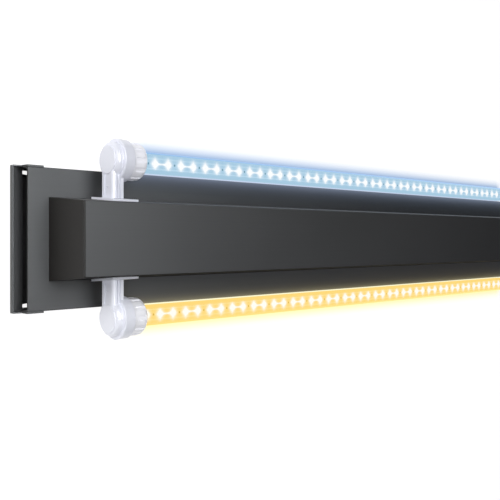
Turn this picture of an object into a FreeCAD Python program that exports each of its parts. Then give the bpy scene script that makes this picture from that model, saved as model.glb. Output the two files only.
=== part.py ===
"""LED aquarium light unit: a wide black carrier profile with a deep tapered driver housing along its
middle, two LED lamp tubes held beside the housing in white splash-proof sockets, and an adjustable slider
on each end.

Millimetres. The unit lies on its back: X runs along its length, Y across it, and +Z is the way the lamps
shine. The origin is under the middle of the unit, at the level of the sliders' backs. Every part at an end
is drawn for the left end (-X) and the cool lamp (+Y), and mirrored to the other places. A name that ends
in AT is a distance measured inward from the profile's end.
"""
import FreeCAD
import Part
import math
import os

V = FreeCAD.Vector
ALONG_X = V(1, 0, 0)
ALONG_Y = V(0, 1, 0)
ALONG_Z = V(0, 0, 1)

# Lamps: the tube length and cap diameter are those of the standard lamp that the unit is built round.
LAMP_LENGTH = 895.0
LAMP_R = 10.5
LAMP_Y = 75.8
LAMP_Z = 63.4
LAMP_CAP_DEPTH = 13.5
TUBE_WALL = 1.0
LED_COUNT = 52
LED_FIRST_AT = 107.6
# Fitted to the LEDs' places in the picture. An error in the camera fit would look the same.
LED_SHIFT = {"cool": -2.6, "warm": 3.6}
LED_HALF = 2.5
LED_HEIGHT = 1.0
LED_BOARD_HALF = 8.7
LED_BOARD_TOP = LAMP_Z - 1.2
LED_BOARD_THICK = 1.0
CARRIER_R = LAMP_R - TUBE_WALL - 0.15

# Carrier profile.
LAMP_END_AT = 78.5
LAMP_INNER_AT = LAMP_END_AT + LAMP_CAP_DEPTH + 4.3
PROFILE_LENGTH = LAMP_LENGTH + 2 * LAMP_END_AT
PROFILE_HALF = 67.5
PROFILE_FRONT = 32.0
PROFILE_BACK = 2.6
PROFILE_WALL = 2.0
SIDE_WALL_AT = 15.8
RIB_Y = (44.2, 45.8)
RIB_AT = 60.0
GROOVE_Z = 6.0
GROOVE_HEIGHT = 2.0
GROOVE_DEPTH = 0.8
COVER_AT = 62.0
COVER_THICK = 1.8
COVER_GROOVE_Y = (50.5, 53.5)

# Driver housing, a hollow that narrows towards its front.
HOUSING_AT = 21.0
HOUSING_BASE_HALF = 39.8
HOUSING_FRONT_HALF = 34.35
HOUSING_FRONT = 95.6
HOUSING_WALL = 2.0
HOUSING_EDGE_R = 1.6
FOOT_THICK = 3.0
FOOT_INNER_Y = 25.0
CAP_PLATE = 2.1
CAP_INSET = 0.15
GASKET_THICK = 0.7
GASKET_INSET = (0.9, 1.9)
PLUG_LOW_Z = PROFILE_FRONT + FOOT_THICK + 1.0
PLUG_DEPTH = 9.0
PLUG_WALL = 1.6
SCREW_AT = (60.0, 300.0)
SCREW_Y = 29.5
SCREW_R = 1.5

# Cable gland on the right end cap.
GLAND_Z = 62.0
GLAND_R = 6.0
GLAND_BORE_R = 3.6
GLAND_INSIDE = 6.9
GLAND_OUTSIDE = 13.5
GLAND_GRIPS = 16

# Sockets.
TANG_AT = (66.0, 75.0)
TANG_HALF_Z = 7.0
TANG_DEPTH = 7.0
STEM_AT = (64.4, 76.8)
STEM_HALF_Z = 10.5
STEM_OUTER_R = 3.0
STEM_INNER_R = 0.9
STEM_GROOVES_AT = ((69.0, 70.0), (71.9, 72.9))
STEM_GROOVE_DEPTH = 1.2
FLANGE_AT = (59.0, 87.7)
FLANGE_HALF_Z = 18.9
FLANGE_THICK = 2.1
FLANGE_GAP = 0.05
DRUM_AT = 65.6
DRUM_FACE_R = 14.6
DRUM_R = 17.7
COLLAR_AT = 72.3
COLLAR_R = 20.9
COLLAR_END_AT = 83.8
NECK_R = 15.8
NECK_END_AT = 93.0
NECK_BORE_R = 11.1
CAVITY_R = 14.6
CAVITY_AT = (68.2, 78.2)
CAP_DISC_R = 13.9
CAP_DISC_THICK = 1.2
WIRE_BORE_R = 2.6
PANEL_HALF_Z = 4.4
PINHOLE_R = 0.9
PINHOLE_Y = 49.6
NUT_R = 18.6
NUT_GROOVE_R = 17.5
NUT_AT = (84.1, 100.5)
NUT_BORE_R = 16.2
NUT_MOUTH_R = 11.1
NUT_CAVITY_END_AT = 97.4
NUT_GRIPS = 12
NUT_SKIRT = 2.2
SEAL_AT = (93.3, 97.1)
SEAL_R = 15.3
SEAL_BORE_R = 10.8
PIN_SPACING = 5.0
PIN_R = 1.15
PIN_LENGTH = 6.8

# Sliders.
SLIDER_REACH = 10.7
SLIDER_HALF = 68.95
SLIDER_WALL = 1.2
SLIDER_FLOOR = 2.2
SLIDER_LIP_Z = 22.0
SLIDER_LIP = 1.7
SLIDER_LIP_DROP = 4.0
SLIDER_HEEL_AT = -1.5
SLIDER_TONGUE = 56.0
SLIDER_CLASP = 15.2
SLIDER_CLASP_TOP = PROFILE_FRONT + 1.3
SLIDER_CLASP_FROM = -0.9
RAMP_TOP = (-9.0, 21.2)
RAMP_END = (15.2, SLIDER_FLOOR)
RAMP_CAVITY = ((-8.0, 18.3), (-8.0, 16.2), (-0.3, 1.4), (13.4, 1.4))
RAMP_OPENING_AT = 5.1
SLOT_HALF = 60.8
SLOT_FLOOR = 1.4
WINDOW_Y = (61.8, 65.75)
WINDOW_END_AT = 16.2
SCORE_DEPTH = 0.35

# Driver electronics.
BOARD_HALF_X = 170.0
BOARD_HALF_Y = 24.0
BOARD_Z = 41.0
BOARD_TOP = BOARD_Z + 1.6
LEAD_R = 1.9
LEAD_Y = 9.5
LEAD_START_X = 0.5 - BOARD_HALF_X
LEAD_X = sum(TANG_AT) / 2 - PROFILE_LENGTH / 2
LEAD_BEND = 9.0


def at(distance):
    """X of a place that lies this far in from the profile's left end."""
    return distance - PROFILE_LENGTH / 2


def box(x, y, z):
    """A box from three (low, high) pairs."""
    return Part.makeBox(x[1] - x[0], y[1] - y[0], z[1] - z[0], V(x[0], y[0], z[0]))


def rod(radius, low, high, y=LAMP_Y, z=LAMP_Z):
    """A cylinder along X between two X places."""
    return Part.makeCylinder(radius, high - low, V(low, y, z), ALONG_X)


def post(radius, x, y, low, high):
    """A cylinder along Z."""
    return Part.makeCylinder(radius, high - low, V(x, y, low), ALONG_Z)


def prism_x(outline, low, high):
    """A closed (y, z) outline drawn out along X."""
    points = [V(low, y, z) for y, z in outline]
    return Part.Face(Part.makePolygon(points + points[:1])).extrude(V(high - low, 0, 0))


def prism_y(outline, low, high):
    """A closed (x, z) outline drawn out along Y."""
    points = [V(x, low, z) for x, z in outline]
    return Part.Face(Part.makePolygon(points + points[:1])).extrude(V(0, high - low, 0))


def turned(outline, y=LAMP_Y, z=LAMP_Z):
    """A closed (x, radius) outline turned about the lamp's axis."""
    points = [V(x, y, z + r) for x, r in outline]
    return Part.Face(Part.makePolygon(points + points[:1])).revolve(V(0, y, z), ALONG_X, 360)


def joined(shapes):
    """Shapes that touch or overlap, made into one solid."""
    whole = shapes[0]
    for shape in shapes[1:]:
        whole = whole.fuse(shape)
    return whole.removeSplitter()


def both_sides(shape):
    """The shape and its mirror image across the XZ plane."""
    return [shape, shape.mirror(V(0, 0, 0), ALONG_Y)]


def long_edges(shape, direction, keep):
    """The straight edges along a direction whose middles pass the keep test."""
    found = []
    for edge in shape.Edges:
        if edge.Curve.TypeId != "Part::GeomLine":
            continue
        ends = edge.Vertexes
        run = ends[-1].Point.sub(ends[0].Point)
        if run.Length > 0.5 and abs(run.normalize().dot(direction)) > 0.999 and keep(edge.CenterOfMass):
            found.append(edge)
    return found


def place(shape, end, side=1):
    """A part of the left end and the cool lamp, mirrored to another end (-1 or 1) and side (1 or -1)."""
    if end > 0:
        shape = shape.mirror(V(0, 0, 0), ALONG_X)
    if side < 0:
        shape = shape.mirror(V(0, 0, 0), ALONG_Y)
    return shape


def write(name, shape):
    """Writes one node. A list makes one node of several separate solids."""
    if isinstance(shape, list):
        shape = Part.makeCompound([solid for item in shape for solid in item.Solids])
    faulty = [solid for solid in shape.Solids if not solid.isValid() or solid.Volume <= 0]
    shape.exportStep("parts/" + name + ".step")
    note = " FAULTY" if faulty or not shape.Solids else ""
    print(f"{name}: {len(shape.Solids)} solid(s), {sum(s.Volume for s in shape.Solids):.0f} mm3{note}")


# Carrier profile and its cover

def carrier_profile():
    """The wide channel that everything else is fixed to, open at its back. Its side walls stop short of its
    ends, which leaves room for the sliders' ramps."""
    low, high = at(0), -at(0)
    outer = box((low, high), (-PROFILE_HALF, PROFILE_HALF), (PROFILE_BACK, PROFILE_FRONT))
    edges = long_edges(outer, ALONG_X, lambda c: c.z > PROFILE_FRONT - 1)
    outer = outer.makeFillet(0.9, edges)
    inner_half = PROFILE_HALF - PROFILE_WALL
    web_back = PROFILE_FRONT - PROFILE_WALL
    hollow = box((low - 1, high + 1), (-inner_half, inner_half), (PROFILE_BACK - 1, web_back))
    profile = outer.cut(hollow)
    clear = box((low - 1, at(SIDE_WALL_AT)), (-high, high), (PROFILE_BACK - 1, web_back))
    for end in (-1, 1):
        profile = profile.cut(place(clear, end))
    rib = box((at(RIB_AT), -at(RIB_AT)), RIB_Y, (PROFILE_BACK + COVER_THICK + 0.2, web_back + 0.5))
    profile = joined([profile] + both_sides(rib))
    groove = box((low - 1, high + 1), (PROFILE_HALF - GROOVE_DEPTH, PROFILE_HALF + 1),
                 (GROOVE_Z, GROOVE_Z + GROOVE_HEIGHT))
    for cutter in both_sides(groove):
        profile = profile.cut(cutter)
    for x, y in screw_places():
        profile = profile.cut(post(SCREW_R + 0.2, x, y, web_back - 1, PROFILE_FRONT + 1))
    return profile.removeSplitter()


def back_cover():
    """A flat cover that closes the profile's back between the sliders, with two shallow grooves along it."""
    half = PROFILE_HALF - PROFILE_WALL - 0.3
    panel = box((at(COVER_AT), -at(COVER_AT)), (-half, half), (PROFILE_BACK, PROFILE_BACK + COVER_THICK))
    groove = box((at(COVER_AT) - 1, 1 - at(COVER_AT)), COVER_GROOVE_Y, (PROFILE_BACK - 1, PROFILE_BACK + 0.6))
    for cutter in both_sides(groove):
        panel = panel.cut(cutter)
    return panel


def screw_places():
    """X and Y of the screws that hold the housing down."""
    return [(sx * at(a), sy * SCREW_Y) for a in SCREW_AT for sx in (-1, 1) for sy in (-1, 1)]


def housing_screws():
    """Pan-head screws from inside the profile into the housing's feet."""
    head_top = PROFILE_FRONT - PROFILE_WALL
    screws = []
    for x, y in screw_places():
        head = post(3.2, x, y, head_top - 2.2, head_top)
        cross = box((x - 2, x + 2), (y - 0.4, y + 0.4), (head_top - 2.3, head_top - 1.2))
        cross = cross.fuse(box((x - 0.4, x + 0.4), (y - 2, y + 2), (head_top - 2.3, head_top - 1.2)))
        shank = post(SCREW_R, x, y, head_top, PROFILE_FRONT + FOOT_THICK - 0.3)
        screws.append(head.cut(cross).fuse(shank))
    return screws


# Driver housing and its end caps

def housing_half(z, inset=0.0):
    """Half the housing's width at a height, less an inset measured across its sloping wall."""
    share = (z - PROFILE_FRONT) / (HOUSING_FRONT - PROFILE_FRONT)
    return HOUSING_BASE_HALF + share * (HOUSING_FRONT_HALF - HOUSING_BASE_HALF) - inset


def housing_outline(low_z, high_z, inset):
    """The housing's (y, z) section between two heights, drawn in by an inset."""
    return [(-housing_half(low_z, inset), low_z), (-housing_half(high_z, inset), high_z),
            (housing_half(high_z, inset), high_z), (housing_half(low_z, inset), low_z)]


def rounded_housing_block(low, high, inset=0.0):
    """A solid length of the housing's section with its two front edges rounded."""
    block = prism_x(housing_outline(PROFILE_FRONT, HOUSING_FRONT - inset, inset), low, high)
    front_edges = long_edges(block, ALONG_X, lambda c: c.z > HOUSING_FRONT - inset - 1)
    return block.makeFillet(HOUSING_EDGE_R, front_edges)


def driver_housing():
    """The tapered hollow extrusion over the driver, with inward feet and a slot for each socket's tang."""
    low = at(HOUSING_AT + CAP_PLATE)
    shell = rounded_housing_block(low, -low)
    hollow = housing_outline(PROFILE_FRONT - 1, HOUSING_FRONT - HOUSING_WALL, HOUSING_WALL)
    shell = shell.cut(prism_x(hollow, low - 1, 1 - low))
    foot = box((low, -low), (FOOT_INNER_Y, HOUSING_BASE_HALF - 1),
               (PROFILE_FRONT, PROFILE_FRONT + FOOT_THICK))
    shell = joined([shell] + both_sides(foot))
    for x, y in screw_places():
        shell = shell.cut(post(SCREW_R + 0.05, x, y, PROFILE_FRONT - 1, PROFILE_FRONT + FOOT_THICK + 1))
    slot = box((at(TANG_AT[0] - 0.3), at(TANG_AT[1] + 0.3)), (HOUSING_FRONT_HALF - 6, HOUSING_BASE_HALF + 2),
               (LAMP_Z - TANG_HALF_Z - 0.3, LAMP_Z + TANG_HALF_Z + 0.3))
    for end in (-1, 1):
        for side in (-1, 1):
            shell = shell.cut(place(slot, end, side))
    return shell.removeSplitter()


def end_cap():
    """A flat cap over the housing's end, with the gasket's groove and a hollow plug inside the extrusion."""
    low = at(HOUSING_AT)
    plate = rounded_housing_block(low, low + CAP_PLATE, CAP_INSET).cut(end_cap_gasket())
    fit = HOUSING_WALL + 0.2
    plug = prism_x(housing_outline(PLUG_LOW_Z, HOUSING_FRONT - fit, fit), low + CAP_PLATE, low + PLUG_DEPTH)
    inner = fit + PLUG_WALL
    core = housing_outline(PLUG_LOW_Z + PLUG_WALL, HOUSING_FRONT - inner, inner)
    plug = plug.cut(prism_x(core, low + CAP_PLATE, low + 2 * PLUG_DEPTH))
    return plate.fuse(plug).removeSplitter()


def end_cap_gasket():
    """A thin rubber frame in the end cap's groove, pinched against the end of the extrusion."""
    high = at(HOUSING_AT + CAP_PLATE)
    outer, inner = GASKET_INSET
    frame = rounded_housing_block(high - GASKET_THICK, high, outer)
    hole = housing_outline(PROFILE_FRONT - 1, HOUSING_FRONT - inner, inner)
    return frame.cut(prism_x(hole, high - 2 * GASKET_THICK, high + 1))


def hexagon(low, thickness, radius):
    """A hexagonal plate across the cable's axis."""
    corners = []
    for k in range(6):
        a = math.radians(60 * k)
        corners.append((radius * math.cos(a), GLAND_Z + radius * math.sin(a)))
    return prism_x(corners, low, low + thickness)


def cable_gland():
    """The mains cable's inlet on the right end cap: a hexagon and a ribbed dome nut, bored through."""
    face = -at(HOUSING_AT)
    body = rod(GLAND_R, face - GLAND_INSIDE, face, 0, GLAND_Z)
    flange = hexagon(face, 4.0, 9.2)
    end = face + GLAND_OUTSIDE
    dome = turned([(face + 4, 0), (face + 4, 8.2), (end - 3.5, 8.2), (end, 5.6), (end, 0)], 0, GLAND_Z)
    grip = box((face + 4.8, end + 1), (7.6, 9.5), (GLAND_Z - 0.5, GLAND_Z + 0.5))
    for k in range(GLAND_GRIPS):
        cutter = grip.copy()
        cutter.rotate(V(0, 0, GLAND_Z), ALONG_X, k * 360 / GLAND_GRIPS)
        dome = dome.cut(cutter)
    whole = joined([body, flange, dome])
    return whole.cut(rod(GLAND_BORE_R, face - 30, face + 30, 0, GLAND_Z))


def gland_nut():
    """The gland's backing nut, inside the end cap."""
    face = -at(HOUSING_AT) - CAP_PLATE
    nut = hexagon(face - 4.2, 4.0, 9.5)
    return nut.cut(rod(GLAND_R + 0.1, face - 10, face + 10, 0, GLAND_Z))


# Sockets

def socket_bracket():
    """The white bracket: a flange on the housing's wall, a stem, and the round socket shell."""
    wall = housing_half(LAMP_Z)
    tang = box((at(TANG_AT[0]), at(TANG_AT[1])), (wall - TANG_DEPTH, wall + 1.5),
               (LAMP_Z - TANG_HALF_Z, LAMP_Z + TANG_HALF_Z))
    stem = socket_stem(wall + 1.5)
    stem = stem.cut(rod(CAP_DISC_R + 0.1, at(DRUM_AT) - 5, at(DRUM_AT)))
    whole = joined([socket_flange(), stem, tang, socket_shell()])
    whole = whole.cut(rod(CAP_DISC_R - 1.9, at(DRUM_AT) - 1, at(CAVITY_AT[0]) + 1))
    whole = whole.cut(rod(CAVITY_R, at(CAVITY_AT[0]), at(CAVITY_AT[1])))
    whole = whole.cut(rod(NECK_BORE_R, at(CAVITY_AT[1]) - 1, at(NECK_END_AT) + 1))
    bore_start = wall - TANG_DEPTH - 1
    start = V(LEAD_X, bore_start, LAMP_Z)
    wire_bore = Part.makeCylinder(WIRE_BORE_R, LAMP_Y - 7 - bore_start, start, ALONG_Y)
    return whole.cut(wire_bore).removeSplitter()


def socket_flange():
    """The plate that lies on the housing's sloping wall."""
    heights = (LAMP_Z - FLANGE_HALF_Z, LAMP_Z + FLANGE_HALF_Z)
    inner = [(housing_half(z) + FLANGE_GAP, z) for z in heights]
    outer = [(y + FLANGE_THICK, z) for y, z in reversed(inner)]
    flange = prism_x(inner + outer, at(FLANGE_AT[0]), at(FLANGE_AT[1]))
    return flange.makeFillet(0.6, long_edges(flange, ALONG_X, lambda c: c.y > housing_half(c.z) + 1))


def socket_stem(foot_y):
    """The stem: a recessed panel and a pinhole in its end face, fine grooves in its front and back."""
    low, high = at(STEM_AT[0]), at(STEM_AT[1])
    stem = box((low, high), (foot_y, LAMP_Y), (LAMP_Z - STEM_HALF_Z, LAMP_Z + STEM_HALF_Z))
    stem = stem.makeFillet(STEM_OUTER_R, long_edges(stem, ALONG_Y, lambda c: c.x < low + 1))
    stem = stem.makeFillet(STEM_INNER_R, long_edges(stem, ALONG_Y, lambda c: c.x > high - 1))
    panel = box((low - 1, low + 0.8), (foot_y + 3.5, LAMP_Y), (LAMP_Z - PANEL_HALF_Z, LAMP_Z + PANEL_HALF_Z))
    stem = stem.cut(panel)
    for face in (-1, 1):
        z = LAMP_Z + face * STEM_HALF_Z
        for start, end in STEM_GROOVES_AT:
            heights = (z - STEM_GROOVE_DEPTH, z + STEM_GROOVE_DEPTH)
            stem = stem.cut(box((at(start), at(end)), (foot_y, LAMP_Y), heights))
    return stem.cut(Part.makeCylinder(PINHOLE_R, 3, V(low - 0.5, PINHOLE_Y, LAMP_Z - 0.4), ALONG_X))


def socket_shell():
    """The round body: a drum with a rounded shoulder, a wide collar, and the neck inside the ring nut."""
    face = at(DRUM_AT)
    collar = at(COLLAR_AT)
    collar_end = at(COLLAR_END_AT)
    neck_end = at(NECK_END_AT)
    drum = [(face, 0), (face, DRUM_FACE_R), (face + 0.5, DRUM_FACE_R + 1.1), (face + 1.5, DRUM_FACE_R + 2.1),
            (face + 3.0, DRUM_R - 0.3), (collar, DRUM_R)]
    ring = [(collar, COLLAR_R - 0.7), (collar + 0.7, COLLAR_R), (collar_end - 0.6, COLLAR_R - 0.4),
            (collar_end, COLLAR_R - 1.0)]
    neck = [(collar_end, NECK_R), (neck_end - 0.8, NECK_R), (neck_end, NECK_R - 0.8), (neck_end, 0)]
    return turned(drum + ring + neck)


def socket_cap():
    """The round cover pressed into the socket's back."""
    face = at(DRUM_AT)
    low = face - CAP_DISC_THICK
    spigot = CAP_DISC_R - 2.0
    disc = [(low, 0), (low, CAP_DISC_R - 0.5), (low + 0.5, CAP_DISC_R), (face, CAP_DISC_R)]
    rim = [(face, spigot), (face + 2, spigot), (face + 2, spigot - 1.6), (face, spigot - 1.6), (face, 0)]
    return turned(disc + rim)


def contact_insert():
    """The insulating block in the socket that the lamp's two pins push into."""
    low, high = at(CAVITY_AT[0] + 2.4), at(CAVITY_AT[1] - 0.1)
    block = rod(CAVITY_R - 0.1, low, high)
    block = block.cut(box((low - 1, high + 1), (LAMP_Y - 20, LAMP_Y - 12.8), (LAMP_Z - 20, LAMP_Z + 20)))
    for side in (-1, 1):
        block = block.cut(rod(PIN_R + 0.15, low + 1.0, high + 1, z=LAMP_Z + side * PIN_SPACING / 2))
    return block


def ring_nut():
    """The union nut that squeezes the seal onto the lamp: a rounded nose and wide grips round it."""
    back, nose = at(NUT_AT[0]), at(NUT_AT[1])
    curve = []
    for k in range(5):
        a = math.radians(22.5 * k)
        curve.append((nose - 5.5 + 5.5 * math.sin(a), NUT_R - 4.4 + 4.4 * math.cos(a)))
    cavity_end = at(NUT_CAVITY_END_AT)
    nut = turned([(back, NUT_BORE_R), (back, NUT_R - 0.5), (back + 0.5, NUT_R)] + curve
                 + [(nose, NUT_MOUTH_R), (cavity_end, NUT_MOUTH_R), (cavity_end, NUT_BORE_R)])
    start = back + NUT_SKIRT
    tube = rod(NUT_R + 3, start, nose + 1).cut(rod(NUT_GROOVE_R, back, nose + 2))
    half = math.radians(360 / NUT_GRIPS / 4)
    reach = 2 * NUT_R
    across = reach * math.sin(half)
    tip = LAMP_Z + reach * math.cos(half)
    wedge = [(LAMP_Y, LAMP_Z), (LAMP_Y - across, tip), (LAMP_Y + across, tip)]
    pocket = tube.common(prism_x(wedge, start, nose + 1))
    for k in range(NUT_GRIPS):
        cutter = pocket.copy()
        cutter.rotate(V(0, LAMP_Y, LAMP_Z), ALONG_X, k * 360 / NUT_GRIPS)
        nut = nut.cut(cutter)
    return nut


def seal_ring():
    """The rubber ring that the nut carries and squeezes."""
    low, high = at(SEAL_AT[0]), at(SEAL_AT[1])
    return turned([(low, SEAL_BORE_R), (low, SEAL_R - 1.2), (low + 1.2, SEAL_R), (high, SEAL_R),
                   (high, SEAL_BORE_R)])


# Lamps

def lamp_cap():
    """The lamp's end cap, with a spigot inside the tube."""
    low = at(LAMP_END_AT)
    shoulder = low + LAMP_CAP_DEPTH
    spigot = LAMP_R - TUBE_WALL - 0.1
    return turned([(low, 0), (low, LAMP_R - 0.8), (low + 0.8, LAMP_R), (shoulder, LAMP_R), (shoulder, spigot),
                   (shoulder + 4, spigot), (shoulder + 4, 0)])


def lamp_pins():
    """The two contact pins on each end of the lamp."""
    tip = at(LAMP_END_AT)
    pair = []
    for side in (-1, 1):
        z = LAMP_Z + side * PIN_SPACING / 2
        end = tip - PIN_LENGTH
        pair.append(turned([(end, 0), (end, PIN_R - 0.4), (end + 0.4, PIN_R), (tip, PIN_R), (tip, 0)], z=z))
    return pair + [pin.mirror(V(0, 0, 0), ALONG_X) for pin in pair]


def lamp_tube():
    """The clear tube between the lamp's caps."""
    low = at(LAMP_END_AT + LAMP_CAP_DEPTH)
    return [rod(LAMP_R, low, -low).cut(rod(LAMP_R - TUBE_WALL, low - 1, 1 - low))]


def led_board():
    """The strip that carries the LEDs, the length of the tube."""
    low = at(LAMP_INNER_AT)
    return [box((low, -low), (LAMP_Y - LED_BOARD_HALF, LAMP_Y + LED_BOARD_HALF),
                (LED_BOARD_TOP - LED_BOARD_THICK, LED_BOARD_TOP))]


def led_places():
    """X of each LED, evenly spaced along the tube."""
    pitch = (PROFILE_LENGTH - 2 * LED_FIRST_AT) / (LED_COUNT - 1)
    return [at(LED_FIRST_AT + k * pitch) for k in range(LED_COUNT)]


def led_chips():
    """One flat square package for each LED, before LED_SHIFT is applied."""
    across = (LAMP_Y - LED_HALF, LAMP_Y + LED_HALF)
    height = (LED_BOARD_TOP, LED_BOARD_TOP + LED_HEIGHT)
    return [box((x - LED_HALF, x + LED_HALF), across, height) for x in led_places()]


def heat_carrier():
    """A hollow half-round aluminium bar under the LED board."""
    low = at(LAMP_INNER_AT)
    top = LED_BOARD_TOP - LED_BOARD_THICK
    above = box((low - 1, 1 - low), (LAMP_Y - 20, LAMP_Y + 20), (top, LAMP_Z + 20))
    bar = rod(CARRIER_R, low, -low).cut(above)
    inside = rod(CARRIER_R - 1.2, low - 1, 1 - low).cut(above.translated(V(0, 0, -1.4)))
    return [bar.cut(inside)]


# Sliders

def end_slider():
    """The adjustable end piece: a hollow ramp with a lip and openings, a floor, and clasps on the profile."""
    out = at(-SLIDER_REACH)
    lip_in = out + SLIDER_LIP
    heel = at(SLIDER_HEEL_AT)
    ramp_end = at(RAMP_END[0])
    tongue_end = at(SLIDER_TONGUE)
    section = [(out, SLIDER_LIP_Z), (lip_in, SLIDER_LIP_Z), (lip_in, RAMP_TOP[1]), (ramp_end, SLIDER_FLOOR),
               (ramp_end, 0), (heel, 0), (out, SLIDER_LIP_Z - SLIDER_LIP_DROP)]
    ramp = prism_y(section, -SLIDER_HALF, SLIDER_HALF)
    floor = box((ramp_end, tongue_end), (-SLIDER_HALF, SLIDER_HALF), (0, SLIDER_FLOOR))
    whole = joined([ramp, floor] + both_sides(slider_side(out, heel, tongue_end)))
    for cutter in ramp_openings(ramp_end) + ramp_scores():
        whole = whole.cut(cutter)
    rounded = box((out, tongue_end), (-SLIDER_HALF, SLIDER_HALF), (-1, 50))
    rounded = rounded.makeFillet(1.5, long_edges(rounded, ALONG_Z, lambda c: abs(c.x - out) < 0.01))
    return whole.common(rounded).removeSplitter()


def ramp_openings(ramp_end):
    """Cutters for the ramp's cavity, the long slot into it, and the window through each corner."""
    start = at(RAMP_OPENING_AT)
    window_end = at(WINDOW_END_AT)
    cavity = prism_y([(at(d), z) for d, z in RAMP_CAVITY], -SLOT_HALF, SLOT_HALF)
    slot = box((start, ramp_end), (-SLOT_HALF, SLOT_HALF), (SLOT_FLOOR, SLIDER_LIP_Z))
    window = box((start, window_end), WINDOW_Y, (-1, SLIDER_LIP_Z))
    flared = box((start, window_end), (WINDOW_Y[0] - 0.6, WINDOW_Y[1] + 0.9), (-1, SLOT_FLOOR))
    return [cavity, slot] + both_sides(window) + both_sides(flared)


def ramp_scores():
    """Cutters for three fine score lines down the ramp."""
    slope = (RAMP_END[1] - RAMP_TOP[1]) / (RAMP_END[0] - RAMP_TOP[0])
    low_z = RAMP_TOP[1] + slope * (RAMP_OPENING_AT - RAMP_TOP[0])
    top, bottom = at(RAMP_TOP[0]), at(RAMP_OPENING_AT)
    section = [(top, RAMP_TOP[1] + 1), (bottom, low_z + 1), (bottom, low_z - SCORE_DEPTH),
               (top, RAMP_TOP[1] - SCORE_DEPTH)]
    return [prism_y(section, y - 0.25, y + 0.25) for y in (-63.8, 0, 63.8)]


def slider_side(out, heel, tongue_end):
    """One side wall, with the clasp over the profile's front edge and the bead that runs in its groove."""
    wall_in = SLIDER_HALF - SLIDER_WALL
    clasp = at(SLIDER_CLASP_FROM)
    clasp_end = at(SLIDER_CLASP)
    wall_top = GROOVE_Z + 6
    outline = [(out, SLIDER_LIP_Z), (clasp - 0.8, SLIDER_LIP_Z + 1.4), (clasp, SLIDER_CLASP_TOP),
               (clasp_end, SLIDER_CLASP_TOP), (clasp_end, wall_top), (tongue_end, wall_top), (tongue_end, 0),
               (heel, 0), (out, SLIDER_LIP_Z - SLIDER_LIP_DROP)]
    wall = prism_y(outline, wall_in, SLIDER_HALF)
    hook = box((clasp, clasp_end), (PROFILE_HALF - 0.5, SLIDER_HALF),
               (PROFILE_FRONT + 0.25, SLIDER_CLASP_TOP))
    bead = box((at(SIDE_WALL_AT + 1), tongue_end), (PROFILE_HALF - GROOVE_DEPTH + 0.25, wall_in + 0.1),
               (GROOVE_Z + 0.3, GROOVE_Z + GROOVE_HEIGHT - 0.3))
    return joined([wall, hook, bead])


# Driver electronics inside the housing

def driver_board():
    """The driver's circuit board, with a hole for each standoff."""
    board = box((-BOARD_HALF_X, BOARD_HALF_X), (-BOARD_HALF_Y, BOARD_HALF_Y), (BOARD_Z, BOARD_TOP))
    for x, y in standoff_places():
        board = board.cut(post(1.7, x, y, BOARD_Z - 1, BOARD_Z + 3))
    return board


def standoff_places():
    """X and Y of the board's four standoffs."""
    return [(sx * (BOARD_HALF_X - 8), sy * (BOARD_HALF_Y - 6)) for sx in (-1, 1) for sy in (-1, 1)]


def board_standoffs():
    """Spacers with snap pins that hold the board off the profile."""
    posts = []
    for x, y in standoff_places():
        posts.append(post(3.2, x, y, PROFILE_FRONT, BOARD_Z).fuse(post(1.6, x, y, BOARD_Z, BOARD_TOP + 1.5)))
    return posts


def transformer():
    """A ferrite core with its winding through the middle."""
    base = BOARD_TOP
    core = box((-21, 21), (-14, 14), (base, base + 34)).cut(box((-14, 14), (-20, 20), (base + 6, base + 28)))
    winding = box((-13.8, 13.8), (-18, 18), (base + 6.2, base + 27.8))
    winding = winding.makeFillet(4, long_edges(winding, ALONG_X, lambda c: True))
    return [core, winding]


def capacitors():
    """Three upright electrolytic capacitors."""
    base = BOARD_TOP
    cans = []
    for x, y, radius, height in ((-62, 8, 9, 36), (-88, -9, 8, 32), (66, -6, 9, 36)):
        can = post(radius, x, y, base, base + height)
        top_edges = [e for e in can.Edges if abs(e.CenterOfMass.z - base - height) < 0.01]
        cans.append(can.makeFillet(1.0, top_edges))
    return cans


def heat_sink():
    """A finned aluminium block for the power transistors."""
    base = BOARD_TOP
    fins = [box((96 + 6 * k, 98 + 6 * k), (-14, 14), (base + 3, base + 30)) for k in range(6)]
    return joined([box((96, 128), (-14, 14), (base, base + 3.5))] + fins)


def terminal_blocks():
    """One lead terminal at each end of the board for each lamp."""
    base = BOARD_TOP
    block = box((LEAD_START_X, LEAD_START_X + 11.5), (LEAD_Y - 6, LEAD_Y + 6), (base, base + 11))
    return [place(block, end, side) for end in (-1, 1) for side in (-1, 1)]


def rounded_path(points, bend):
    """A wire of straight runs through the points, with an arc of the given radius at each turn."""
    edges = []
    start = points[0]
    for before, corner, after in zip(points, points[1:], points[2:]):
        back = before.sub(corner).normalize()
        ahead = after.sub(corner).normalize()
        half = back.getAngle(ahead) / 2
        reach = bend / math.tan(half)
        first = corner.add(V(back).multiply(reach))
        last = corner.add(V(ahead).multiply(reach))
        inward = back.add(ahead).normalize()
        centre = corner.add(V(inward).multiply(bend / math.sin(half)))
        middle = centre.sub(V(inward).multiply(bend))
        edges.append(Part.LineSegment(start, first).toShape())
        edges.append(Part.Arc(first, middle, last).toShape())
        start = last
    edges.append(Part.LineSegment(start, points[-1]).toShape())
    return Part.Wire(edges)


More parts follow.
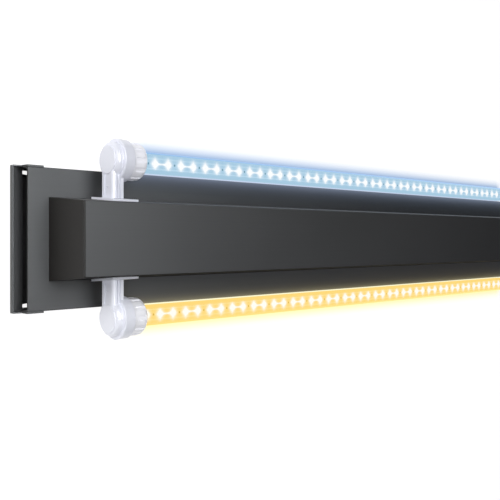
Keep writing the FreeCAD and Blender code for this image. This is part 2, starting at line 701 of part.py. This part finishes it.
def lamp_lead():
    """The lead from the driver's terminal, through the bracket's tang and stem, to the contacts."""
    exit_z = BOARD_TOP + 6
    points = [V(LEAD_START_X, LEAD_Y, exit_z), V(LEAD_START_X - 90, LEAD_Y, exit_z),
              V(LEAD_START_X - 200, LEAD_Y, LAMP_Z), V(LEAD_X, LEAD_Y, LAMP_Z),
              V(LEAD_X, LAMP_Y - CAVITY_R - 0.5, LAMP_Z)]
    path = rounded_path(points, LEAD_BEND)
    ring = Part.Wire([Part.Circle(points[0], ALONG_X, LEAD_R).toShape()])
    tube = path.makePipeShell([ring], True, True)
    print(f"lead: volume {tube.Volume:.0f}, section times length {math.pi * LEAD_R ** 2 * path.Length:.0f}")
    return tube


SOCKET_PARTS = {"socket_bracket": socket_bracket, "socket_cap": socket_cap, "contact_insert": contact_insert,
                "ring_nut": ring_nut, "seal_ring": seal_ring, "lamp_cap": lamp_cap}
LAMP_PARTS = {"lamp_tube": lamp_tube, "led_board": led_board, "heat_carrier": heat_carrier,
              "lamp_pins": lamp_pins}


def main():
    os.makedirs("parts", exist_ok=True)
    write("carrier_profile", carrier_profile())
    write("back_cover", back_cover())
    write("housing_screws", housing_screws())
    write("driver_housing", driver_housing())
    left_cap = end_cap()
    gland_hole = rod(GLAND_R + 0.1, -at(HOUSING_AT) - 5, -at(HOUSING_AT) + 5, 0, GLAND_Z)
    write("end_cap_left", left_cap)
    write("end_cap_right", place(left_cap, 1).cut(gland_hole))
    write("end_cap_gasket_left", end_cap_gasket())
    write("end_cap_gasket_right", place(end_cap_gasket(), 1))
    write("cable_gland", cable_gland())
    write("gland_nut", gland_nut())
    write("driver_board", driver_board())
    write("board_standoffs", board_standoffs())
    write("transformer", transformer())
    write("capacitors", capacitors())
    write("heat_sink", heat_sink())
    write("terminal_blocks", terminal_blocks())
    write("lamp_leads", [place(lamp_lead(), end, side) for end in (-1, 1) for side in (-1, 1)])
    for side, lamp in ((1, "cool"), (-1, "warm")):
        for end, where in ((-1, "left"), (1, "right")):
            for name, make in SOCKET_PARTS.items():
                write(f"{name}_{lamp}_{where}", place(make(), end, side))
        for name, make in LAMP_PARTS.items():
            write(f"{name}_{lamp}", [place(solid, -1, side) for solid in make()])
        shift = V(LED_SHIFT[lamp], 0, 0)
        write(f"led_chips_{lamp}", [place(chip, -1, side).translated(shift) for chip in led_chips()])
    slider = end_slider()
    write("end_slider_left", slider)
    write("end_slider_right", place(slider, 1))


main()
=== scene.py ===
import math

import bmesh
import bpy
from mathutils import Matrix, Vector

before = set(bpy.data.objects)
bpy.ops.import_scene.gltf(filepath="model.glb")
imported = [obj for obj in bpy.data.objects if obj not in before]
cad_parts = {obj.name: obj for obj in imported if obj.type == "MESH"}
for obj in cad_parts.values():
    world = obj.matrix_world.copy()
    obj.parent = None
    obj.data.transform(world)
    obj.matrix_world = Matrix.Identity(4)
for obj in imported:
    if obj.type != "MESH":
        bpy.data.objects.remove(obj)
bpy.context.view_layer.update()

# Places and sizes on the CAD model, in metres.
LAMP_Y = 0.0758
LED_PITCH = 0.016408
FIRST_LED_X = {"cool": -0.4210, "warm": -0.4148}
PROFILE_HALF = 0.0675
# LED places are counted from this many pitches before the first, so that the folds get no negative values.
LEDS_BEFORE = 40

# The light on an LED strip: half sizes along and across it, and half widths of the soft edges.
STAR = (0.0042, 0.0052)
BLOOM = (0.0042, 0.0060)
LINE_HALF_WIDTH = 0.0010
LINE_HALF_LENGTH = 0.0085
LINE_EDGE = 0.0005
PAD_HALF = 0.0010
PAD_EDGE = 0.0003
RAIL_AT = 0.0052

# The lamp glass across its axis: where it turns from clear to deep, and where its outer rim turns darker.
GLASS_SIDE = (0.0064, 0.0088)
GLASS_RIM = (0.0080, 0.0092)

# The lamps' light on the profile: the depth it fades over, and its ends along X.
COOL_DEPTH = 0.0060
WARM_DEPTH = 0.0033
LIT_TO = (0.436, 0.404)

# The lamps' light on the floor: where it starts to fade across, how far it reaches, and its two ends along X.
HALO_FROM = 0.096
HALO_REACH = 0.017
HALO_LEFT = (-0.405, -0.372)
HALO_RIGHT = (0.445, 0.415)

CAMERA_AT = (-0.825288, 0, 0.647150)
CAMERA_TILT = math.radians(46.646)
CAMERA_LENS = 51.0
CAMERA_SENSOR = 36.0
CAMERA_SHIFT_Y = -0.0217

# Colours are linear.
WHITE = (1.0, 1.0, 1.0)
BLACK = (0.0, 0.0, 0.0)


class Wire:
    """A value in a node tree, which the usual operators work on."""

    def __init__(self, tree, socket):
        self.tree = tree
        self.socket = socket

    def math(self, operation, *others):
        """A Math node with this value first."""
        made = self.tree.nodes.new("ShaderNodeMath")
        made.operation = operation
        for socket, value in zip(made.inputs, (self, *others)):
            connect(self.tree, socket, value)
        return Wire(self.tree, made.outputs[0])

    def __add__(self, other):
        return self.math("ADD", other)

    def __sub__(self, other):
        return self.math("SUBTRACT", other)

    def __mul__(self, other):
        return self.math("MULTIPLY", other)

    def __truediv__(self, other):
        return self.math("DIVIDE", other)

    def __pow__(self, other):
        return self.math("POWER", other)

    def abs(self):
        return self.math("ABSOLUTE")

    def exp(self):
        return self.math("EXPONENT")

    def max(self, other):
        return self.math("MAXIMUM", other)

    def min(self, other):
        return self.math("MINIMUM", other)

    def folded(self, period):
        """Distance from the nearest multiple of period, from 0 to half of it."""
        return self.math("PINGPONG", period / 2)

    def ramp(self, start, end, smooth=True):
        """0 before start and 1 after end, or the other way round when end is the smaller."""
        made = self.tree.nodes.new("ShaderNodeMapRange")
        made.interpolation_type = "SMOOTHSTEP" if smooth else "LINEAR"
        low, high, flip = (start, end, False) if start < end else (end, start, True)
        connect(self.tree, made.inputs["Value"], self)
        made.inputs["From Min"].default_value = low
        made.inputs["From Max"].default_value = high
        made.inputs["To Min"].default_value = 1.0 if flip else 0.0
        made.inputs["To Max"].default_value = 0.0 if flip else 1.0
        return Wire(self.tree, made.outputs[0])


def connect(tree, socket, value):
    """Puts a wire, a number or a colour into a socket."""
    if isinstance(value, Wire):
        tree.links.new(value.socket, socket)
    elif isinstance(value, tuple) and len(value) == 3 and socket.type == "RGBA":
        socket.default_value = (*value, 1.0)
    else:
        socket.default_value = value


def colour_mix(tree, factor, first, second, blend="MIX"):
    """One colour turning into another."""
    made = tree.nodes.new("ShaderNodeMix")
    made.data_type = "RGBA"
    made.blend_type = blend
    connect(tree, made.inputs["Factor"], factor)
    from_colour, to_colour = [socket for socket in made.inputs if socket.type == "RGBA"]
    connect(tree, from_colour, first)
    connect(tree, to_colour, second)
    output = [socket for socket in made.outputs if socket.type == "RGBA"][0]
    return Wire(tree, output)


class Paint:
    """A node material with one Principled shader."""

    def __init__(self, name, **constants):
        self.material = bpy.data.materials.new(name)
        self.material.use_nodes = True
        self.tree = self.material.node_tree
        self.shader = self.tree.nodes["Principled BSDF"]
        for key, value in constants.items():
            self.set(key.replace("_", " ").title().replace("Ior", "IOR"), value)

    def set(self, key, value):
        connect(self.tree, self.shader.inputs[key], value)

    def place(self, output):
        """One of the texture coordinates of the object's own frame, as X, Y and Z wires."""
        coordinates = self.tree.nodes.new("ShaderNodeTexCoord")
        split = self.tree.nodes.new("ShaderNodeSeparateXYZ")
        self.tree.links.new(coordinates.outputs[output], split.inputs[0])
        return [Wire(self.tree, axis) for axis in split.outputs]

    def position(self):
        return self.place("Object")

    def normal(self):
        return self.place("Normal")

    def noise(self, scale, stretch=(1, 1, 1), detail=2.0, roughness=0.5):
        """Fractal noise over the surface, from 0 to 1. The scale is in features per metre."""
        coordinates = self.tree.nodes.new("ShaderNodeTexCoord")
        mapping = self.tree.nodes.new("ShaderNodeMapping")
        mapping.inputs["Scale"].default_value = stretch
        made = self.tree.nodes.new("ShaderNodeTexNoise")
        made.inputs["Scale"].default_value = scale
        made.inputs["Detail"].default_value = detail
        made.inputs["Roughness"].default_value = roughness
        self.tree.links.new(coordinates.outputs["Object"], mapping.inputs["Vector"])
        self.tree.links.new(mapping.outputs[0], made.inputs["Vector"])
        return Wire(self.tree, made.outputs["Fac"])

    def mix(self, factor, first, second, blend="MIX"):
        return colour_mix(self.tree, factor, first, second, blend)

    def bump(self, height, distance, strength=1.0):
        made = self.tree.nodes.new("ShaderNodeBump")
        made.inputs["Distance"].default_value = distance
        made.inputs["Strength"].default_value = strength
        connect(self.tree, made.inputs["Height"], height)
        self.tree.links.new(made.outputs[0], self.shader.inputs["Normal"])


def scaled(colour, share):
    """A lighter or darker colour."""
    return tuple(share * value for value in colour)


def within(distance, reach, edge):
    """1 inside the reach and 0 outside it, with a soft edge of this half width."""
    return distance.ramp(reach + edge, reach - edge)


def fading(distance, reach, power=1.6):
    """1 at no distance, falling to 0 at the reach."""
    return (distance / reach * -1.0 + 1.0).min(1.0).max(0.0) ** power


def grain_and_gloss(paint, roughness, bump=0.00003):
    """Faint flow marks and a fine grain, which also make the gloss slightly uneven. Returns both."""
    flow = paint.noise(18, detail=3)
    fine = paint.noise(2600, detail=2)
    paint.set("Roughness", flow * 0.1 + fine * 0.06 + (roughness - 0.08))
    paint.bump(fine, bump)
    return flow, fine


def moulded(name, colour, roughness, grain=0.06, spread=0.12, bump=0.00003, **constants):
    """Moulded plastic or rubber."""
    paint = Paint(name, **constants)
    flow, fine = grain_and_gloss(paint, roughness, bump)
    middle = (spread + grain) / 2
    shade = (flow * spread + fine * grain).ramp(0, 2 * middle, False)
    paint.set("Base Color", paint.mix(shade, scaled(colour, 1 - middle), scaled(colour, 1 + middle)))
    return paint.material


def extruded(name, colour, roughness):
    """Satin extruded profile: hairlines along its length over a fine grain. More can be laid over it."""
    paint = Paint(name)
    lines = paint.noise(700, stretch=(0.004, 1, 1), detail=3, roughness=0.6)
    grain = paint.noise(2200, detail=2)
    cloud = paint.noise(6, detail=3)
    shade = lines * 0.4 + grain * 0.25 + cloud * 0.35
    paint.colour = paint.mix(shade.ramp(0.3, 0.7, False), scaled(colour, 0.86), scaled(colour, 1.14))
    paint.set("Base Color", paint.colour)
    paint.set("Roughness", lines * 0.08 + grain * 0.06 + cloud * 0.08 + (roughness - 0.11))
    paint.bump(lines * 0.5 + grain * 0.5, 0.00002)
    return paint


def shaded_wall(paint):
    """Painted shade: takes most of the sheen and colour off the long wall that faces the warm lamp, so that
    it looks as if it lay in shadow.
    """
    # Painted shade: the darkening and lost sheen follow the side that faces the warm lamp.
    wall = paint.normal()[1].ramp(-0.30, -0.75)
    paint.set("Base Color", paint.mix(wall * 0.8, paint.colour, (0.003, 0.003, 0.003)))
    paint.set("Specular IOR Level", wall * -0.49 + 0.5)
    return paint.material


def slider_plastic(dark, pale):
    """Black plastic, with the slope inside the slider painted paler than the rest: painted light standing in
    for the light that falls on it.
    """
    paint = Paint("slider")
    flow, fine = grain_and_gloss(paint, 0.5)
    x, _, z = paint.normal()
    # Painted light: faces tilted up and outwards, as the slope is, get the paler colour.
    slope = x.abs().ramp(0.40, 0.55) * z.ramp(0.60, 0.75)
    low, high = [paint.mix(slope, scaled(dark, share), scaled(pale, share)) for share in (0.85, 1.15)]
    paint.set("Base Color", paint.mix(flow * 0.5 + fine * 0.5, low, high))
    return paint.material


def painted_lamplight(paint):
    """Painted light on the profile: an emission glow that stands in for the two lamps' light along its outer
    edges, and a faint neutral painted fill over the half on the warm side.
    """
    x, y, _ = paint.position()
    to_cool = ((y - PROFILE_HALF) / COOL_DEPTH).min(0.0).exp()
    to_warm = ((y * -1.0 - PROFILE_HALF) / WARM_DEPTH).min(0.0).exp()
    by_cool = paint.mix(to_cool, BLACK, (0.15, 0.18, 0.25))
    # The faint neutral emission away from the warm edge is a painted fill light over the whole warm half.
    by_warm = paint.mix(to_warm, (0.012, 0.014, 0.018), (0.20, 0.18, 0.10))
    paint.set("Emission Color", paint.mix(y.ramp(-0.001, 0.001), by_warm, by_cool))
    paint.set("Emission Strength", x.abs().ramp(*LIT_TO))
    return paint.material


def drawn_metal(name, colour, roughness, stretch=(0.02, 1, 1)):
    """Metal with fine draw lines."""
    paint = Paint(name, metallic=1.0)
    lines = paint.noise(1800, stretch=stretch, detail=3)
    paint.set("Base Color", paint.mix(lines.ramp(0.3, 0.7, False), scaled(colour, 0.9), colour))
    paint.set("Roughness", lines * 0.16 + (roughness - 0.08))
    paint.bump(lines, 0.00001)
    return paint.material


def led_glow(lamp, core, fill, rail, dot):
    """The face of a lit LED strip: a soft star of light on each package, the stars joined in pairs by a
    bright line, with a small dark pad between the pairs and a pale rail along each side."""
    paint = Paint(f"{lamp}_leds", roughness=0.6, specular_ior_level=0.1)
    x, y, _ = paint.position()
    along = x - (FIRST_LED_X[lamp] - LED_PITCH * LEDS_BEFORE)
    off = (y.abs() - LAMP_Y).abs()
    # Distance from the nearest LED, and from the nearest gap that a bright line fills.
    near = along.folded(LED_PITCH)
    joined = (along + LED_PITCH / 2).folded(2 * LED_PITCH)
    star = ((near / STAR[0] + off / STAR[1]) ** 2 * -1.0).exp()
    bloom = ((near / BLOOM[0]) ** 2 * -1.0 - (off / BLOOM[1]) ** 2).exp()
    line = ((off / LINE_HALF_WIDTH) ** 2 * -1.0).exp() * within(joined, LINE_HALF_LENGTH, LINE_EDGE)
    light = (star * 1.4 + bloom * 0.5 + line * 0.8).min(1.0)
    unjoined = joined.ramp(LED_PITCH - 0.0012, LED_PITCH - 0.0006)
    along_pad = (near - LED_PITCH / 2).abs()
    pad = within(along_pad, PAD_HALF, PAD_EDGE) * within(off, PAD_HALF, PAD_EDGE) * unjoined
    rails = (off - RAIL_AT).abs().ramp(0.0013, 0.0002)
    glow = paint.mix(light, paint.mix(rails, fill, rail), core)
    paint.set("Base Color", scaled(fill, 0.04))
    paint.set("Emission Color", paint.mix(pad, glow, dot))
    paint.set("Emission Strength", 1.0)
    return paint.material


def lamp_glass(name, tint, rim):
    """Clear lamp tube, deeper along its sides, where it carries the light of its own strip."""
    paint = Paint(name, ior=1.45)
    streak = paint.noise(900, stretch=(0.01, 1, 1), detail=2)
    y = paint.position()[1]
    off = (y.abs() - LAMP_Y).abs()
    side = off.ramp(*GLASS_SIDE)
    outer = (y.abs() - LAMP_Y).ramp(*GLASS_RIM)
    paint.set("Base Color", scaled(tint, 0.05))
    paint.set("Roughness", streak * 0.06 + 0.08)
    paint.set("Specular IOR Level", side * -0.27 + 0.3)
    paint.set("Emission Color", paint.mix(outer, tint, rim))
    paint.set("Emission Strength", 1.0)
    paint.set("Alpha", side * 0.88 + 0.04)
    return paint.material


def assign(nodes, material):
    """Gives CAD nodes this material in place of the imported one."""
    for name in nodes:
        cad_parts[name].data.materials.clear()
        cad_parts[name].data.materials.append(material)


def named(*starts):
    """The CAD nodes whose names start with one of these."""
    return [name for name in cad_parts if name.startswith(starts)]


ANTHRACITE = (0.034, 0.034, 0.035)
# The profile gets a painted glow standing in for the lamps' light, and a painted fill light on its warm half.
assign(named("carrier_profile"), painted_lamplight(extruded("profile", ANTHRACITE, 0.46)))
# The housing's wall that faces the warm lamp gets a painted shade.
assign(named("driver_housing"), shaded_wall(extruded("housing", ANTHRACITE, 0.46)))
assign(named("back_cover"), extruded("cover", (0.016, 0.016, 0.0165), 0.6).material)
assign(named("end_slider"), slider_plastic((0.036, 0.037, 0.038), (0.11, 0.112, 0.115)))
assign([name for name in named("end_cap") if "gasket" not in name],
       moulded("end_cap", (0.0115, 0.0098, 0.0084), 0.55, specular_ior_level=0.25))
assign(named("end_cap_gasket"), moulded("gasket", (0.012, 0.012, 0.012), 0.85))
assign(named("cable_gland", "gland_nut"), moulded("gland", (0.018, 0.018, 0.019), 0.45))
GLOSSY = dict(grain=0.01, spread=0.03, bump=0.000008, coat_weight=0.25, coat_roughness=0.12)
# Painted light: the same white plastic in lit and shaded copies, paler on the warm side than on the cool
# side, and paler on the nuts than on the brackets and caps.
LIT_AND_SHADED_WHITES = {"cool": ((0.76, 0.77, 0.845), (0.92, 0.92, 0.97)),
          "warm": ((0.83, 0.84, 0.91), (0.94, 0.935, 0.97))}
for lamp_side, (socket_white, nut_white) in LIT_AND_SHADED_WHITES.items():
    assign(named(f"socket_bracket_{lamp_side}", f"socket_cap_{lamp_side}"),
           moulded(f"white_{lamp_side}", socket_white, 0.3, **GLOSSY))
    assign(named(f"ring_nut_{lamp_side}"), moulded(f"nut_{lamp_side}", nut_white, 0.3, **GLOSSY))
assign(named("seal_ring"), moulded("seal", (0.42, 0.42, 0.44), 0.7))
assign(named("contact_insert", "board_standoffs"), moulded("insert", (0.62, 0.62, 0.58), 0.5))
assign(named("heat_carrier", "heat_sink", "lamp_cap"), drawn_metal("aluminium", (0.80, 0.81, 0.83), 0.35))
assign(named("lamp_pins"), drawn_metal("brass", (0.72, 0.55, 0.25), 0.3))
assign(named("housing_screws"), drawn_metal("steel", (0.55, 0.55, 0.56), 0.35, stretch=(1, 1, 1)))
assign(named("driver_board"), moulded("board", (0.02, 0.12, 0.05), 0.4))
assign(named("transformer"), moulded("ferrite", (0.05, 0.05, 0.052), 0.6))
assign(named("capacitors"), moulded("sleeve", (0.02, 0.035, 0.10), 0.25))
assign(named("terminal_blocks"), moulded("terminal", (0.03, 0.22, 0.09), 0.4))
assign(named("lamp_leads"), moulded("lead", (0.50, 0.50, 0.50), 0.5))

COOL_FILL = (0.38, 0.58, 0.73)
WARM_FILL = (0.97, 0.68, 0.20)
assign(named("led_board_cool", "led_chips_cool"),
       led_glow("cool", WHITE, COOL_FILL, (0.47, 0.66, 0.80), (0.10, 0.24, 0.32)))
assign(named("led_board_warm", "led_chips_warm"),
       led_glow("warm", (1.0, 0.99, 0.96), WARM_FILL, (0.99, 0.74, 0.28), (0.66, 0.42, 0.04)))
assign(named("lamp_tube_cool"), lamp_glass("cool_tube", COOL_FILL, (0.20, 0.40, 0.70)))
assign(named("lamp_tube_warm"), lamp_glass("warm_tube", WARM_FILL, (0.96, 0.67, 0.16)))


def make_floor():
    """A plain pale surface just under the unit, washed with the lamps' light where they run along it."""
    mesh = bpy.data.meshes.new("floor")
    shape = bmesh.new()
    bmesh.ops.create_grid(shape, x_segments=8, y_segments=8, size=6.0)
    shape.to_mesh(mesh)
    shape.free()
    floor = bpy.data.objects.new("floor", mesh)
    floor.location = (0, 0, -0.0006)
    bpy.context.scene.collection.objects.link(floor)
    paint = Paint("floor", roughness=0.9, specular_ior_level=0.1)
    x, y, _ = paint.position()
    beside = x.ramp(*HALO_LEFT) * x.ramp(*HALO_RIGHT)
    reach = fading((y.abs() - HALO_FROM).max(0.0), HALO_REACH) * y.abs().ramp(0.035, 0.095)
    cool = reach * y.ramp(-0.001, 0.001) * beside * 0.88
    warm = reach * y.ramp(0.001, -0.001) * beside * 0.52
    tint = paint.mix(cool, WHITE, (0.20, 0.36, 0.62))
    tint = paint.mix(warm, tint, (1.0, 0.86, 0.0))
    cloud = paint.noise(3, detail=2)
    pale = paint.mix(cloud, (0.24, 0.24, 0.24), (0.26, 0.26, 0.26))
    paint.set("Base Color", paint.mix(0.9, pale, tint, "MULTIPLY"))
    paint.set("Emission Color", tint)
    paint.set("Emission Strength", 0.94)
    mesh.materials.append(paint.material)


def soft_light(name, place, target, size, watts, colour=WHITE, spread=180, gloss_only=False):
    """A rectangular light that faces its target, with its spread in degrees."""
    data = bpy.data.lights.new(name, "AREA")
    data.shape = "RECTANGLE"
    data.size, data.size_y = size
    data.energy = watts
    data.color = colour
    data.spread = math.radians(spread)
    lamp = bpy.data.objects.new(name, data)
    lamp.location = place
    lamp.rotation_mode = "QUATERNION"
    lamp.rotation_quaternion = (Vector(target) - Vector(place)).to_track_quat("-Z", "Y")
    lamp.visible_camera = False
    lamp.visible_diffuse = not gloss_only
    bpy.context.scene.collection.objects.link(lamp)


def make_lights():
    """Key above the near end, fill from in front, sheen for the dark plastic, and a counter light."""
    soft_light("key", (-0.55, 0.28, 1.15), (-0.45, 0.0, 0.0), (1.2, 1.2), 2.4, (0.96, 0.98, 1.0), 90)
    soft_light("fill", (-1.5, 0.5, 0.75), (-0.4, 0.0, 0.05), (0.9, 0.9), 10.5)
    soft_light("sheen", (-0.65, 0.3, 1.1), (-0.50, 0.0, 0.0), (0.7, 0.7), 13, (0.92, 0.97, 1.0), 120, True)
    soft_light("counter", (-0.35, -0.55, 0.95), (-0.25, -0.06, 0.03), (0.6, 0.6), 0.9,
               (1.0, 0.99, 0.98), 100)
    make_surroundings((0.072, 0.0744, 0.08), WHITE)


def make_surroundings(light, backdrop):
    """Faint light from all around, and a pale backdrop beyond the floor."""
    world = bpy.data.worlds.new("studio")
    world.use_nodes = True
    tree = world.node_tree
    rays = Wire(tree, tree.nodes.new("ShaderNodeLightPath").outputs["Is Camera Ray"])
    connect(tree, tree.nodes["Background"].inputs["Color"], colour_mix(tree, rays, light, backdrop))
    bpy.context.scene.world = world


def make_camera():
    """The left end seen from in front of it, with the far end running out of the picture."""
    data = bpy.data.cameras.new("camera")
    data.lens = CAMERA_LENS
    data.sensor_width = CAMERA_SENSOR
    data.shift_y = CAMERA_SHIFT_Y
    data.clip_start = 0.01
    camera = bpy.data.objects.new("camera", data)
    back = Vector((-math.cos(CAMERA_TILT), 0, math.sin(CAMERA_TILT)))
    up = Vector((0, 1, 0))
    right = up.cross(back)
    turn = Matrix((right, up, back)).transposed().to_4x4()
    camera.matrix_world = Matrix.Translation(CAMERA_AT) @ turn
    bpy.context.scene.collection.objects.link(camera)
    bpy.context.scene.camera = camera


make_floor()
make_lights()
make_camera()
bpy.context.scene.view_settings.view_transform = "Standard"
